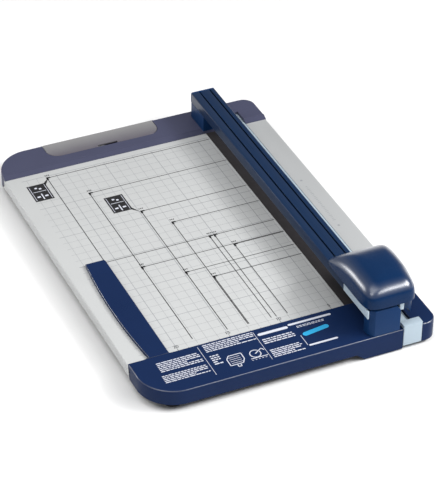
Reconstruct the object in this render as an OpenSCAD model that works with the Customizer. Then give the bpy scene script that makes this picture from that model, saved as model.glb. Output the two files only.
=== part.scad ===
// Rotary paper trimmer for A4 sheets.
// Millimetres, +Z up, origin at the centre of the footprint on the surface that it stands on.
// +X points to the off-cut side of the cut line, +Y away from the user.
// The carriage is parked at its near end, its head is up and the blade store is shut.

/* [Footprint] */
// Overall width of the base
body_w = 278; // [270:1:290]
// Overall length of the base
body_l = 400; // [395:1:420]
// Height of the table's top above the surface
table_z = 20; // [19:0.5:24]
// Radius of the two left corners
left_r = 34; // [20:1:38]
// Radius of the two right corners
right_r = 12; // [6:1:16]

/* [Table] */
// Distance of the cut line to the right of the centre
cut_x = 110; // [108:1:112]
// Place of the near paper stop
near_stop_y = -147; // [-150:1:-145]
// Place of the far end of the open table
far_stop_y = 160.5; // [158:0.5:165]
// Right edge of the printed table, left of the cut line
table_gap = 37; // [35:1:39]
// Thickness of the folded steel sheets
sheet_t = 1.2; // [0.8:0.1:1.2]
// Depth of the folded side flanges
flange_h = 10; // [6:1:11]

/* [End blocks] */
// Height of the blocks above the table
block_rise = 3; // [2.5:0.5:4]
// Height of the blocks' lower edge above the surface
block_z0 = 8; // [6:0.5:8]
// Wall of the moulded blocks
block_wall = 2.4; // [1.8:0.1:2.8]
// Length of the sheet stop arm beyond the near stop
arm_l = 149; // [120:1:200]
// Width of the sheet size that the arm stops
arm_sheet_w = 210; // [205:1:212]

/* [Rail] */
// Width of the rail
rail_w = 25; // [24:0.5:26]
// Height of the rail's section
rail_h = 11; // [10:0.5:12]
// Height of the rail's underside above the table
rail_gap = 20; // [18:0.5:22]
// Wall of the rail's section
rail_wall = 2; // [1.6:0.1:2.2]
// Width of the two slots in the rail's top
slot_w = 1.6; // [1.4:0.1:2]

/* [Carriage] */
// Travel of the carriage
slide_travel = 305; // [290:1:305]
// Travel of the pressed head
press_travel = 2; // [1:0.1:2]
// Length of the cover
cover_l = 85.5; // [78:0.5:86]
// Width of the cover at its far end
cover_w = 60; // [56:1:60]
// Width of the cover at its near end
cover_near_w = 50; // [48:1:58]
// Height of the dome above its rim
dome_h = 21.5; // [18:0.5:24]
// Radius of the rotary blade
blade_r = 14; // [13:0.5:14]

/* [Cutting mat] */
// Width of the mat
mat_w = 12.2; // [11:0.1:12.4]
// Width of the pull tab
tab_w = 18.7; // [17:0.1:19]

/* [Blade store] */
// Width of the lid
lid_w = 117; // [100:1:120]
// Depth of the lid
lid_d = 23; // [20:1:24]

/* [Hidden] */
$fn = 64;
arc_steps = 10;
eps = 0.01;

half_w = body_w / 2;
half_l = body_l / 2;
block_top = table_z + block_rise;

// Clearances
slip = 0.3;
skim = 0.05;

// Tray under the table
tray_top = table_z - sheet_t;
tray_t = 2.2;
tray_z0 = 8.6;
tray_x = half_w - 2.6;
tray_y = half_l - 8;
tray_wall = 2;
tray_left_r = 30;
tray_right_r = 10;
tray_bays_x = 8;
tray_bays_y = 11;
bay_rib = 2;

// Overlap inside a moulding that is drawn from several shapes
embed = 1;

// Bevel on the far block's front edge
bevel_d = 5.2;
bevel_foot = 0.3;

// How far the sheets tuck under the blocks' lips
tuck = 3.5;
sheet_y0 = near_stop_y - tuck;
sheet_y1 = far_stop_y + tuck;
table_x1 = cut_x - table_gap;
strip_rise = 0.15;

// Deep housing at the near right, under the rail's foot
deep_x0 = cut_x - 52;
deep_x1 = cut_x - 44;
deep_z0 = 1.5;
right_z0 = 4;

// Mat, its channel and its tab
mat_x0 = cut_x - 5.8;
mat_z0 = tray_top + skim;
mat_top = table_z + 0.2;
mat_y1 = 180.5;
channel_x0 = mat_x0 - slip;
channel_x1 = mat_x0 + mat_w + slip;
channel_y1 = 181;
tab_x0 = cut_x - 6.1;
tab_lip = 8.3;
tab_t = 2.2;
tab_rise = 3.3;
tab_z0 = 4.5;
tab_wall_y0 = -half_l + tab_t + 0.7;

// Rail
rail_x0 = cut_x - 40;
rail_x1 = rail_x0 + rail_w;
rail_z0 = table_z + rail_gap;
rail_z1 = rail_z0 + rail_h;
rail_y0 = -186;
rail_web_x0 = rail_x0 + 12;
rail_web_x1 = rail_x0 + 16;
slot_left = rail_x0 + 8.5;
slot_right = rail_x0 + 19.5;
slots = [slot_left, slot_right];

// Posts that carry the rail
post_x1 = rail_x0 + 30;
post_y0 = -half_l + 0.8;
post_top = rail_z1 - 0.2;
far_post_y0 = far_stop_y;
far_post_y1 = 190.5;
cap_t = 2;

// Carriage body
body_y0 = -197.6;
body_y1 = -120;
rail_y1 = body_y1 + slide_travel + 4;
body_x0 = rail_x0 - 1.8;
body_x1 = cut_x - 5.5;
body_z0 = rail_z1 + 0.9;
body_z1 = rail_z1 + 2.3;
body_r = 9.2;
skirt_t = 1.5;
skirt_z0 = rail_z0 + 2.5;
skirt_y1 = -149;
cheek_t = 4.1;
cheek_rib_y0 = rail_y0 + 2;
fin_t = 1;
keeper_w = 5;
keeper_t = 2;
keeper_l = 12;
keeper_ys = [-176, -132];
keeper_z1 = rail_z1 - rail_wall - 0.4;
keeper_screw_r = 0.4;
keeper_screw_head_r = 1.4;
keeper_screw_head_h = 0.5;
pad_ys = [-180, -126];
pad_l = 8;
post_r = 2.5;
post_ys = [-166, -140];
post_x = (rail_web_x0 + rail_web_x1) / 2;
guide_top = rail_z1 + 11;

// Cover of the head
cover_x0 = rail_x0 - 4;
cover_x1 = cover_x0 + cover_w;
cover_near_x1 = cover_x0 + cover_near_w;
cover_y0 = -half_l;
cover_y1 = cover_y0 + cover_l;
cover_z0 = rail_z1 + 2.4;
cover_top = cover_z0 + dome_h;
cover_wall = 1.6;
cover_r = 11;
rim_t = 0.2;
web_t = 1.4;
lobe_x0 = cut_x - 5;
lobe_x1 = cover_near_x1 + 0.5;
lobe_y0 = -193;
lobe_y1 = -122;
lobe_z0 = table_z + 10;
lobe_wall = 1.4;
lobe_r = 7;
lobe_low_r = 10;

// Springs on the guide posts
spring_r = 5.4;
spring_wire = 0.45;
spring_turns = 5;
spring_top = rail_z1 + 13;
sleeve_r = 4.2;
sleeve_z0 = rail_z1 + 5.6;
flange_r = 7;

// Blade
blade_y = -153;
blade_lift = press_travel + 0.2;
blade_z = mat_top + blade_lift + blade_r;
blade_t = 0.4;
axle_r = 3;
axle_head_r = 5.2;
axle_head_h = 1.4;
holder_x0 = cut_x - 4.8;
holder_t = 2;
holder_y0 = -171;
holder_y1 = -135;
retainer_r = 9;
retainer_t = 2.6;
spacer_r = 5.5;
holder_rib_x0 = lobe_x0 - 1.6;
holder_neck_z = 50;
holder_screw_ys = [-164, -142];
holder_screw_z = cover_z0 + 5;
holder_screw_r = 1.3;
holder_screw_head_r = 2.4;
holder_screw_head_h = 1.2;
holder_eye_r = 8;

// Blade store in the far block
lid_x0 = cut_x - 196;
lid_x1 = lid_x0 + lid_w;
lid_y0 = half_l - lid_d;
lid_t = 1.8;
lid_r = 12;
lid_gap = 0.4;
lid_ledge = 3;
lid_lip_t = 2;
lid_lip_z0 = 14.5;
lid_axis_y = half_l - 3.2;
lid_axis_z = 16.5;
lid_ear_w = 4;
lid_ear_r = 2.2;
lid_ear_room = 4.3;
lid_pin_r = 1.2;
lid_notch_w = 20.5;
lid_notch_d = 3.2;
lid_notch_x = cut_x - 135;
store_y0 = 166;
store_floor = 10;
store_wall = 1.6;
spare_x = (lid_x0 + lid_x1) / 2;
spare_y = 181.5;
spare_peg_h = 1.6;

// Feet
foot_r = 9;
foot_peg_r = 3;
foot_peg_h = 3.5;
feet = [[-112, -182], [0, -182], [112, -180], [-112, 180], [0, 152], [112, 180]];

// Screws that hold the blocks to the tray
block_screw_r = 1.5;
block_screw_head_r = 3;
block_screw_head_h = 2;
block_screw_z0 = tray_z0 + 3;
block_screw_at = [[-80, -178], [-30, -178], [40, -178], [130, -172],
    [-104, 172], [42, 178], [128, 172]];
boss_r = 4.5;

// Screws that hold the posts to the blocks
post_screw_at = [[80, -192.5], [90, -192.5], [82.5, 172], [82.5, 184]];
post_screw_r = 1.5;
post_screw_head_r = 2.8;
post_screw_head_h = 1.8;
post_screw_l = 11;

// Box between two corners
module box(low, high) {
    translate(low) cube([for (i = [0 : 2]) high[i] - low[i]]);
}

// Quarter round from an angle on, or the bare corner where the radius is 0
function quarter(x, y, r, angle) = r <= 0 ? [[x, y]] :
    [for (i = [0 : arc_steps]) [x + r * cos(angle + 90 * i / arc_steps), y + r * sin(angle + 90 * i / arc_steps)]];

// Rectangle between two corners with a radius at each
// radii: near left, near right, far right, far left
module slab(low, high, radii) {
    polygon(concat(
        quarter(low[0] + radii[0], low[1] + radii[0], radii[0], 180),
        quarter(high[0] - radii[1], low[1] + radii[1], radii[1], 270),
        quarter(high[0] - radii[2], high[1] - radii[2], radii[2], 0),
        quarter(low[0] + radii[3], high[1] - radii[3], radii[3], 90)));
}

// Slab between two heights
module plate(low, high, radii) {
    translate([0, 0, low[2]]) linear_extrude(high[2] - low[2]) slab(low, high, radii);
}

// Upright round bar
module post(x, y, z0, z1, r) {
    translate([x, y, z0]) cylinder(h = z1 - z0, r = r);
}

// Round bar along X
module bar_x(x0, x1, y, z, r) {
    translate([x0, y, z]) rotate([0, 90, 0]) cylinder(h = x1 - x0, r = r);
}

// Screw pointing up, with a low round head below
module screw_up(x, y, z_head, z_tip, r, head_r, head_h) {
    difference() {
        union() {
            post(x, y, z_head, z_head + head_h, head_r);
            post(x, y, z_head + head_h - eps, z_tip, r);
        }
        post(x, y, z_head - eps, z_head + head_h / 2, r * 0.7, $fn = 6);
    }
}

// Ribbed moulding that carries everything
module base_tray() {
    bay_x = (2 * tray_x - 2 * tray_wall - (tray_bays_x - 1) * bay_rib) / tray_bays_x;
    bay_y = (2 * tray_y - 2 * tray_wall - (tray_bays_y - 1) * bay_rib) / tray_bays_y;
    color("#20242c") difference() {
        union() {
            difference() {
                plate([-tray_x, -tray_y, tray_z0], [tray_x, tray_y, tray_top], [tray_left_r, tray_right_r, tray_right_r, tray_left_r]);
                intersection() {
                    for (i = [0 : tray_bays_x - 1]) for (j = [0 : tray_bays_y - 1])
                        translate([-tray_x + tray_wall + i * (bay_x + bay_rib),
                            -tray_y + tray_wall + j * (bay_y + bay_rib), tray_z0 - eps])
                            cube([bay_x, bay_y, tray_top - tray_t - tray_z0 + eps]);
                    plate([-tray_x + tray_wall, -tray_y + tray_wall, 0],
                        [tray_x - tray_wall, tray_y - tray_wall, tray_top],
                        [tray_left_r - tray_wall, tray_right_r - tray_wall,
                            tray_right_r - tray_wall, tray_left_r - tray_wall]);
                }
            }
            for (f = feet) post(f[0], f[1], tray_z0, tray_top - eps, foot_r);
            for (s = block_screw_at) post(s[0], s[1], tray_z0 + 2, tray_top - eps, boss_r);
        }
        for (f = feet) post(f[0], f[1], tray_z0 - eps, tray_z0 + foot_peg_h + 0.5, foot_peg_r);
        for (s = block_screw_at) {
            post(s[0], s[1], 0, tray_top + eps, block_screw_r + skim);
            post(s[0], s[1], 0, block_screw_z0 + block_screw_head_h, block_screw_head_r + slip);
        }
        // Space for the blade store
        box([lid_x0 - lid_gap - store_wall - slip, store_y0 - store_wall - slip, 0],
            [lid_x1 + lid_gap + store_wall + slip, half_l, tray_top + eps]);
        for (s = post_screw_at) post(s[0], s[1], 0, tray_top + eps, post_screw_head_r + slip);
    }
}

// Printed steel table with a folded left flange
module table_plate() {
    color("#d6d8d8") union() {
        box([-half_w + sheet_t, sheet_y0, tray_top], [table_x1, sheet_y1, table_z]);
        box([-half_w, sheet_y0, table_z - flange_h], [-half_w + sheet_t, sheet_y1, table_z - sheet_t + eps]);
        difference() {
            translate([-half_w + sheet_t, sheet_y0, table_z - sheet_t]) rotate([-90, 0, 0])
                cylinder(h = sheet_y1 - sheet_y0, r = sheet_t);
            box([-half_w + sheet_t, sheet_y0 - 1, 0], [0, sheet_y1 + 1, table_z + 1]);
            box([-half_w - 1, sheet_y0 - 1, 0], [0, sheet_y1 + 1, table_z - sheet_t]);
        }
    }
}

// Plain table on the off-cut side with a folded right flange
module side_table() {
    x0 = mat_x0 + mat_w + 0.5;
    color("#bfc1c2") union() {
        box([x0, sheet_y0, tray_top], [half_w - sheet_t, sheet_y1, table_z]);
        box([half_w - sheet_t, sheet_y0, table_z - flange_h], [half_w, sheet_y1, table_z - sheet_t + eps]);
        difference() {
            translate([half_w - sheet_t, sheet_y0, table_z - sheet_t]) rotate([-90, 0, 0])
                cylinder(h = sheet_y1 - sheet_y0, r = sheet_t);
            box([0, sheet_y0 - 1, 0], [half_w - sheet_t, sheet_y1 + 1, table_z + 1]);
            box([0, sheet_y0 - 1, 0], [half_w + 1, sheet_y1 + 1, table_z - sheet_t]);
        }
    }
}

// Rubber strip beside the cut line that keeps the sheet from slipping
module grip_strip() {
    color("#2a282c") box([table_x1, near_stop_y, tray_top], [cut_x - 9, far_stop_y, table_z + strip_rise]);
}

// Outline of the near block
module near_outline(inset) {
    slab([-half_w + inset, -half_l + 0.4 + inset], [half_w - inset, near_stop_y + (inset > 0 ? embed : 0)],
        [left_r - inset, right_r - inset, 0, 0]);
}

// Stop arm: straight at the sheet's edge, bowed on its outside
module stop_arm() {
    bow_r = 640;
    bow_y = near_stop_y + 77;
    x1 = cut_x - arm_sheet_w;
    bow_x = x1 - 23.2;
    end_radii = [0, 0, 2.5, 1.5];
    translate([0, 0, table_z]) linear_extrude(block_rise) intersection() {
        translate([bow_x + bow_r, bow_y]) circle(bow_r, $fn = 256);
        slab([bow_x - 1, near_stop_y - 1], [x1, near_stop_y + arm_l], end_radii);
    }
}

// Near end moulding: paper stop, sheet arm and the housing under the rail's foot
module near_block() {
    color("#21345c") difference() {
        union() {
            difference() {
                union() {
                    translate([0, 0, table_z]) linear_extrude(block_rise) near_outline(0);
                    difference() {
                        translate([0, 0, deep_z0]) linear_extrude(table_z - deep_z0 + eps) near_outline(0);
                        box([-half_w - 1, sheet_y0 - skim, 0], [half_w + 1, near_stop_y + 1, table_z]);
                        near_skirt_trim();
                    }
                }
                translate([0, 0, -1]) linear_extrude(tray_top + 1 + skim) near_outline(block_wall);
            }
            stop_arm();
            for (s = block_screw_at) if (s[1] < 0) post(s[0], s[1], tray_top + skim, table_z + embed, boss_r);
            // Wall behind the tab
            box([tab_x0 - 3, tab_wall_y0, right_z0], [tab_x0 + tab_w + 3, tab_wall_y0 + block_wall, table_z]);
        }
        // Channel of the mat, open at the top, and the notch of its tab
        box([channel_x0, -half_l - 1, tray_top - 0.5], [channel_x1, near_stop_y + 1, block_top + 1]);
        box([tab_x0 - slip, -half_l - 1, 0], [tab_x0 + tab_w + slip, tab_wall_y0, block_top + 1]);
        // The table's corner shows through a small notch at the rail
        box([table_x1 - 4, near_stop_y - 3, table_z], [table_x1, near_stop_y + 1, block_top + 1]);
        for (s = block_screw_at) if (s[1] < 0) post(s[0], s[1], 0, block_top - 1, block_screw_r);
        for (s = post_screw_at) if (s[1] < 0) post(s[0], s[1], 0, block_top + 1, post_screw_r + skim);
    }
}

// What is cut from under the near block's skirt
module near_skirt_trim() {
    box([-half_w - 1, -half_l - 1, 0], [deep_x0, half_l, block_z0]);
    translate([0, half_l, 0]) rotate([90, 0, 0]) linear_extrude(body_l + 1)
        polygon([[deep_x0 - eps, 0], [deep_x1, 0], [deep_x1, deep_z0], [deep_x0 - eps, block_z0]]);
    box([tab_x0 + tab_w, -half_l - 1, 0], [half_w + 1, half_l, right_z0]);
}

// Far end moulding with the blade store
module far_block() {
    color("#3a4468") difference() {
        union() {
            far_shell();
            box([lid_x0 - lid_gap - store_wall, store_y0 - store_wall, store_floor - store_wall],
                [lid_x1 + lid_gap + store_wall, half_l - embed, table_z + embed]);
            for (s = block_screw_at) if (s[1] > 0) post(s[0], s[1], tray_top + skim, table_z + embed, boss_r);
        }
        // Store, the ledge and rebate that the lid lies in, and the slot for its lip and ears
        difference() {
            box([lid_x0 + lid_ledge, store_y0, store_floor],
                [lid_x1 - lid_ledge, half_l - block_wall - store_wall, block_top - 2.4]);
            post(spare_x, spare_y, 0, store_floor + spare_peg_h, axle_r);
        }
        plate([lid_x0 - lid_gap, lid_y0 - lid_gap, block_top - lid_t - skim],
            [lid_x1 + lid_gap, half_l + 1, block_top + 1], [lid_r, lid_r, 0, 0]);
        box([lid_x0 + lid_ledge + 1, lid_y0 + 2, table_z - 2], [lid_x1 - lid_ledge - 1, half_l - 5, block_top]);
        box([lid_x0 - lid_gap, lid_axis_y - lid_ear_r - lid_gap, lid_axis_z - lid_ear_room],
            [lid_x1 + lid_gap, half_l + 1, block_top]);
        bar_x(lid_x0 - lid_gap - store_wall - 1, lid_x1 + lid_gap + store_wall + 1, lid_axis_y, lid_axis_z,
            lid_pin_r + skim);
        // Channel of the mat, where the blade ends its cut
        box([channel_x0, far_stop_y - 1, tray_top - 0.5], [channel_x1, channel_y1, block_top + 1]);
        for (s = block_screw_at) if (s[1] > 0) post(s[0], s[1], 0, block_top - 1, block_screw_r);
        for (s = post_screw_at) if (s[1] > 0) post(s[0], s[1], 0, block_top + 1, post_screw_r + skim);
    }
}

// Open-bottomed shell of the far block
module far_shell() {
    difference() {
        plate([-half_w, far_stop_y, block_z0], [half_w, half_l, block_top], [0, 0, right_r, left_r]);
        box([-half_w - 1, far_stop_y - 1, 0], [half_w + 1, sheet_y1 + skim, table_z]);
        plate([-half_w + block_wall, far_stop_y - 1, 0],
            [half_w - block_wall, half_l - block_wall, tray_top + skim],
            [0, 0, right_r - block_wall, left_r - block_wall]);
        // Bevelled front edge, left whole under the rail's far post
        for (span = [[-half_w - 1, rail_x0 - 1], [rail_x1 + 1, half_w + 1]])
            translate([span[0], 0, 0]) rotate([90, 0, 90]) linear_extrude(span[1] - span[0])
                polygon([[far_stop_y - 1, table_z + bevel_foot], [far_stop_y, table_z + bevel_foot],
                    [far_stop_y + bevel_d, block_top], [far_stop_y + bevel_d, block_top + 1],
                    [far_stop_y - 1, block_top + 1]]);
    }
}

// Screws from below through the tray into the blocks
module block_screws() {
    color("#9a9da1") for (s = block_screw_at)
        screw_up(s[0], s[1], block_screw_z0, block_top - 1.6, block_screw_r - skim,
            block_screw_head_r, block_screw_head_h);
}

// Soft feet with pegs in the tray
module rubber_feet() {
    color("#1b1b1d") for (f = feet) union() {
        post(f[0], f[1], 0, tray_z0, foot_r);
        post(f[0], f[1], tray_z0 - eps, tray_z0 + foot_peg_h, foot_peg_r);
    }
}

// Lid of the blade store, hinged at the rear edge
module blade_store_lid() {
    color("#77757f") difference() {
        union() {
            plate([lid_x0, lid_y0, block_top - lid_t], [lid_x1, half_l, block_top], [lid_r, lid_r, 0, 0]);
            box([lid_x0, half_l - lid_lip_t, lid_lip_z0], [lid_x1, half_l, block_top - lid_t + eps]);
            for (x = [lid_x0, lid_x1 - lid_ear_w]) {
                bar_x(x, x + lid_ear_w, lid_axis_y, lid_axis_z, lid_ear_r);
                box([x, lid_axis_y - lid_ear_r, lid_axis_z],
                    [x + lid_ear_w, half_l - lid_lip_t + eps, block_top - lid_t + eps]);
            }
        }
        box([lid_notch_x - lid_notch_w / 2, lid_y0 - 1, 0],
            [lid_notch_x + lid_notch_w / 2, lid_y0 + lid_notch_d, block_top + 1]);
        bar_x(lid_x0 - 1, lid_x1 + 1, lid_axis_y, lid_axis_z, lid_pin_r);
    }
}

// Steel pins of the lid's hinge
module lid_pins() {
    length = lid_ear_w + lid_gap + store_wall;
    color("#a7a9ac") {
        for (x = [lid_x0 - lid_gap - store_wall, lid_x1 + lid_gap + store_wall - length])
            bar_x(x, x + length, lid_axis_y, lid_axis_z, lid_pin_r);
    }
}

// Spare blade lying in the store
module spare_blade() {
    color("#b9bcc0") difference() {
        post(spare_x, spare_y, store_floor, store_floor + blade_t, blade_r);
        post(spare_x, spare_y, 0, table_z, axle_r + skim);
    }
}

// Replaceable strip that the blade cuts on
module cutting_mat() {
    color("#aab6bf") box([mat_x0, -half_l + tab_t, mat_z0], [mat_x0 + mat_w, mat_y1, mat_top]);
}

// Tab that pulls the mat out
module mat_tab() {
    color("#b4bfc7") union() {
        plate([tab_x0, -half_l, block_top + 0.2], [tab_x0 + tab_w, -half_l + tab_lip, block_top + tab_rise],
            [1, 1, 1, 1]);
        plate([tab_x0, -half_l, tab_z0], [tab_x0 + tab_w, -half_l + tab_t, block_top + 0.2 + eps], [1, 1, 0, 0]);
    }
}

// Section of the rail, drawn in X and Z
module rail_section() {
    nose_r = 1.5;
    difference() {
        slab([rail_x0, rail_z0], [rail_x1, rail_z1], [0.5, 0.5, nose_r, nose_r]);
        translate([rail_x0 + rail_wall, rail_z0 + rail_wall])
            square([rail_web_x0 - rail_x0 - rail_wall, rail_h - 2 * rail_wall]);
        translate([rail_web_x1, rail_z0 + rail_wall])
            square([rail_x1 - rail_wall - rail_web_x1, rail_h - 2 * rail_wall]);
        for (x = slots) translate([x - slot_w / 2, rail_z1 - rail_wall - eps]) square([slot_w, rail_wall + 1]);
    }
}

// Slotted rail that the carriage runs on
module rail() {
    color("#24406e") translate([0, rail_y1, 0]) rotate([90, 0, 0])
        linear_extrude(rail_y1 - rail_y0) rail_section();
}

// Cap on the rail's far end
module rail_end_cap() {
    color("#1f3866") union() {
        translate([0, rail_y1 + cap_t, 0]) rotate([90, 0, 0]) linear_extrude(cap_t)
            slab([rail_x0, rail_z0], [rail_x1, rail_z1], [0.5, 0.5, 1.5, 1.5]);
        box([rail_x0 + rail_wall + skim, rail_y1 - 6, rail_z0 + rail_wall + skim],
            [rail_web_x0 - skim, rail_y1 + eps, rail_z1 - rail_wall - skim]);
    }
}

// Foot of the rail at the near end
module near_post() {
    chamfer = 4.5;
    slope_w = 4;
    slope_h = 6.5;
    color("#23396a") difference() {
        translate([0, 0, block_top]) linear_extrude(post_top - block_top)
            polygon([[rail_x0, rail_y0], [rail_x0, post_y0 + chamfer], [rail_x0 + chamfer, post_y0],
                [post_x1, post_y0], [post_x1, rail_y0]]);
        // Sloped upper right edge
        translate([0, half_l, 0]) rotate([90, 0, 0]) linear_extrude(body_l + 1)
            polygon([[post_x1 - slope_w, post_top + eps], [post_x1 + 1, post_top + eps],
                [post_x1 + 1, post_top - slope_h]]);
        for (s = post_screw_at) if (s[1] < 0) post(s[0], s[1], block_top - 1, block_top + post_screw_l + 1, post_screw_r);
    }
}

// Foot of the rail at the far end
module far_post() {
    color("#1f3866") difference() {
        box([rail_x0, far_post_y0, block_top], [rail_x1, far_post_y1, rail_z0]);
        for (s = post_screw_at) if (s[1] > 0) post(s[0], s[1], block_top - 1, block_top + post_screw_l + 1, post_screw_r);
    }
}

// Screws from under the blocks into the posts
module post_screws() {
    color("#9a9da1") for (s = post_screw_at)
        screw_up(s[0], s[1], tray_top + skim - post_screw_head_h, block_top + post_screw_l, post_screw_r - skim,
            post_screw_head_r, post_screw_head_h);
}

// Saddle that slides on the rail
module carriage_body() {
    color("#b4c0cb") difference() {
        union() {
            plate([body_x0, body_y0, body_z0], [body_x1, body_y1, body_z1], [body_r, 2, 2, body_r]);
            // Left skirt; its near end stays under the rim of the pressed cover
            box([body_x0, body_y0 + 1.5, skirt_z0], [body_x0 + skirt_t, skirt_y1, body_z0 - 0.8]);
            box([body_x0, body_y0 + body_r, body_z0 - 1], [body_x0 + skirt_t, skirt_y1, body_z0 + eps]);
            box([body_x1 - cheek_t, body_y0 + 2, skirt_z0], [body_x1, body_y1 - 2, body_z0 + eps]);
            box([rail_x1 + slip, cheek_rib_y0, skirt_z0 + 2], [body_x1 - cheek_t + eps, body_y1 - 4, body_z0 + eps]);
            for (x = slots) for (y = keeper_ys)
                box([x - fin_t / 2, y - keeper_l / 2, keeper_z1],
                    [x + fin_t / 2, y + keeper_l / 2, body_z0 + eps]);
        }
        for (y = post_ys) post(post_x, y, body_z0 - 1, body_z1 + 1, post_r);
        for (x = slots) for (y = keeper_ys) post(x, y, 0, body_z1 + 1, keeper_screw_r + skim);
    }
}

// Steel posts that guide the head
module guide_posts() {
    color("#c3c6c9") for (y = post_ys) post(post_x, y, body_z0, guide_top, post_r);
}

// Nylon pads between the saddle and the rail's top
module slide_pads() {
    color("#e6e4dc") for (y = pad_ys)
        for (span = [[rail_x0 + 2, slot_left - 1.5], [slot_right + 1.5, rail_x1 - 1]])
            box([span[0], y - pad_l / 2, rail_z1 + skim], [span[1], y + pad_l / 2, body_z0]);
}

// Keepers inside the rail that hold the saddle down
module slide_keepers() {
    color("#8f9296") difference() {
        for (y = keeper_ys) for (x = slots)
            box([x - keeper_w / 2, y - keeper_l / 2, keeper_z1 - keeper_t],
                [x + keeper_w / 2, y + keeper_l / 2, keeper_z1]);
        for (x = slots) for (y = keeper_ys) post(x, y, 0, body_z1, keeper_screw_r + skim);
    }
}

// Fine screws through the saddle into the keepers
module keeper_screws() {
    color("#9a9da1") for (x = slots) for (y = keeper_ys) union() {
        post(x, y, keeper_z1 - keeper_t, body_z1 + eps, keeper_screw_r);
        post(x, y, body_z1, body_z1 + keeper_screw_head_h, keeper_screw_head_r);
    }
}

// Outline of the dome, drawn in by a distance; it widens towards its far end
module dome_outline(d, r) {
    far_y = cover_y1 - d * 1.3;
    polygon(concat(
        quarter(cover_x0 + d + r, cover_y0 + d + r, r, 180),
        quarter(cover_near_x1 - d - r, cover_y0 + d + r, r, 270),
        quarter(cover_x1 - d - r, far_y - r, r, 0),
        quarter(cover_x0 + d + r, far_y - r, r, 90)));
}

// Solid dome between the rim and the top; inset moves its skin inwards
module dome(inset) {
    // Share of the height, and how far the skin has drawn in there
    rings = [[0, 0], [0.38, 1.2], [0.7, 6], [0.9, 13], [1, 20]];
    hull() for (ring = rings) {
        d = ring[1] + inset;
        z1 = cover_z0 + ring[0] * (dome_h - inset);
        z0 = z1 - rim_t - (inset > 0 ? eps : 0);
        translate([0, 0, z0]) linear_extrude(z1 - z0)
            dome_outline(d, min(cover_r + ring[1] * 0.3 - inset, cover_near_w / 2 - d - skim));
    }
}

// Walls around the blade, rounded at their lower corners
module lobe() {
    intersection() {
        plate([lobe_x0, lobe_y0, lobe_z0], [lobe_x1, lobe_y1, cover_z0], [0, lobe_r, lobe_r, 0]);
        translate([lobe_x0 - 1, 0, 0]) rotate([90, 0, 90]) linear_extrude(lobe_x1 - lobe_x0 + 2)
            slab([lobe_y0, lobe_z0], [lobe_y1, cover_z0 + 1], [lobe_low_r, lobe_low_r, 0, 0]);
    }
}

// Head cover: dome over the rail, a lobe around the blade and the web that joins them
module carriage_cover() {
    color("#1f3560") difference() {
        union() {
            dome(0);
            lobe();
        }
        difference() {
            dome(cover_wall);
            for (y = post_ys) {
                post(post_x, y, sleeve_z0, cover_top, sleeve_r);
                post(post_x, y, spring_top, cover_top, flange_r);
            }
            box([holder_rib_x0, holder_y0, cover_z0 + press_travel + 0.5], [holder_x0, holder_y1, cover_top]);
            box([lobe_x0, cover_y0, cover_z0 - 1], [cover_x1, cover_y1, cover_z0 + web_t]);
        }
        for (y = holder_screw_ys) bar_x(holder_rib_x0 - 1, holder_x0 + 1, y, holder_screw_z, holder_screw_r);
        plate([lobe_x0 - eps, lobe_y0 + lobe_wall, lobe_z0 - 1],
            [lobe_x1 - lobe_wall, lobe_y1 - lobe_wall, cover_z0 + web_t + eps],
            [0, lobe_r - lobe_wall, lobe_r - lobe_wall, 0]);
        for (y = post_ys) post(post_x, y, cover_z0, guide_top + 2.4, post_r + skim);
    }
}

// Points of one ring of the spring's wire
function wire_ring(turn, z, sides) = [for (k = [0 : sides - 1])
    let (a = 360 * k / sides, r = spring_r - spring_wire + spring_wire * cos(a))
    [r * cos(turn), r * sin(turn), z + spring_wire * sin(a)]];

// Coil spring standing between two heights
module coil(z0, z1, turns) {
    sides = 8;
    steps = turns * 12;
    pts = [for (i = [0 : steps])
        each wire_ring(360 * turns * i / steps, z0 + spring_wire + (z1 - z0 - 2 * spring_wire) * i / steps, sides)];
    sheath = [for (i = [0 : steps - 1]) for (k = [0 : sides - 1])
        [i * sides + k, i * sides + (k + 1) % sides, (i + 1) * sides + (k + 1) % sides, (i + 1) * sides + k]];
    ends = [[for (k = [sides - 1 : -1 : 0]) k], [for (k = [0 : sides - 1]) steps * sides + k]];
    polyhedron(pts, concat(sheath, ends));
}

// Springs that lift the head
module press_springs() {
    color("#c9ccce") for (y = post_ys) translate([post_x, y, 0]) coil(body_z1, spring_top, spring_turns);
}

// Steel plate that carries the blade on the head
module blade_holder() {
    color("#9aa4ad") difference() {
        union() {
            box([holder_x0, holder_y0, holder_neck_z - 6], [holder_x0 + holder_t, holder_y1, holder_screw_z + 3]);
            bar_x(holder_x0, holder_x0 + holder_t, blade_y, blade_z, holder_eye_r);
            box([holder_x0, blade_y - holder_eye_r, blade_z],
                [holder_x0 + holder_t, blade_y + holder_eye_r, holder_neck_z]);
        }
        bar_x(holder_x0 - 1, holder_x0 + holder_t + 1, blade_y, blade_z, axle_r);
        for (y = holder_screw_ys)
            bar_x(holder_x0 - 1, holder_x0 + holder_t + 1, y, holder_screw_z, holder_screw_r);
    }
}

// Screws of the holder
module holder_screws() {
    color("#9a9da1") for (y = holder_screw_ys) union() {
        bar_x(holder_rib_x0, holder_x0 + holder_t + eps, y, holder_screw_z, holder_screw_r - skim);
        bar_x(holder_x0 + holder_t, holder_x0 + holder_t + holder_screw_head_h, y, holder_screw_z,
            holder_screw_head_r);
    }
}

// Spacer between holder and blade
module blade_spacer() {
    color("#d8d6cf") difference() {
        bar_x(holder_x0 + holder_t, cut_x - blade_t / 2 - skim, blade_y, blade_z, spacer_r);
        bar_x(0, half_w, blade_y, blade_z, axle_r);
    }
}

// Round blade that rolls on the mat
module rotary_blade() {
    color("#c8cbce") difference() {
        bar_x(cut_x - blade_t / 2, cut_x + blade_t / 2, blade_y, blade_z, blade_r);
        bar_x(0, half_w, blade_y, blade_z, axle_r + skim);
    }
}

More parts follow.
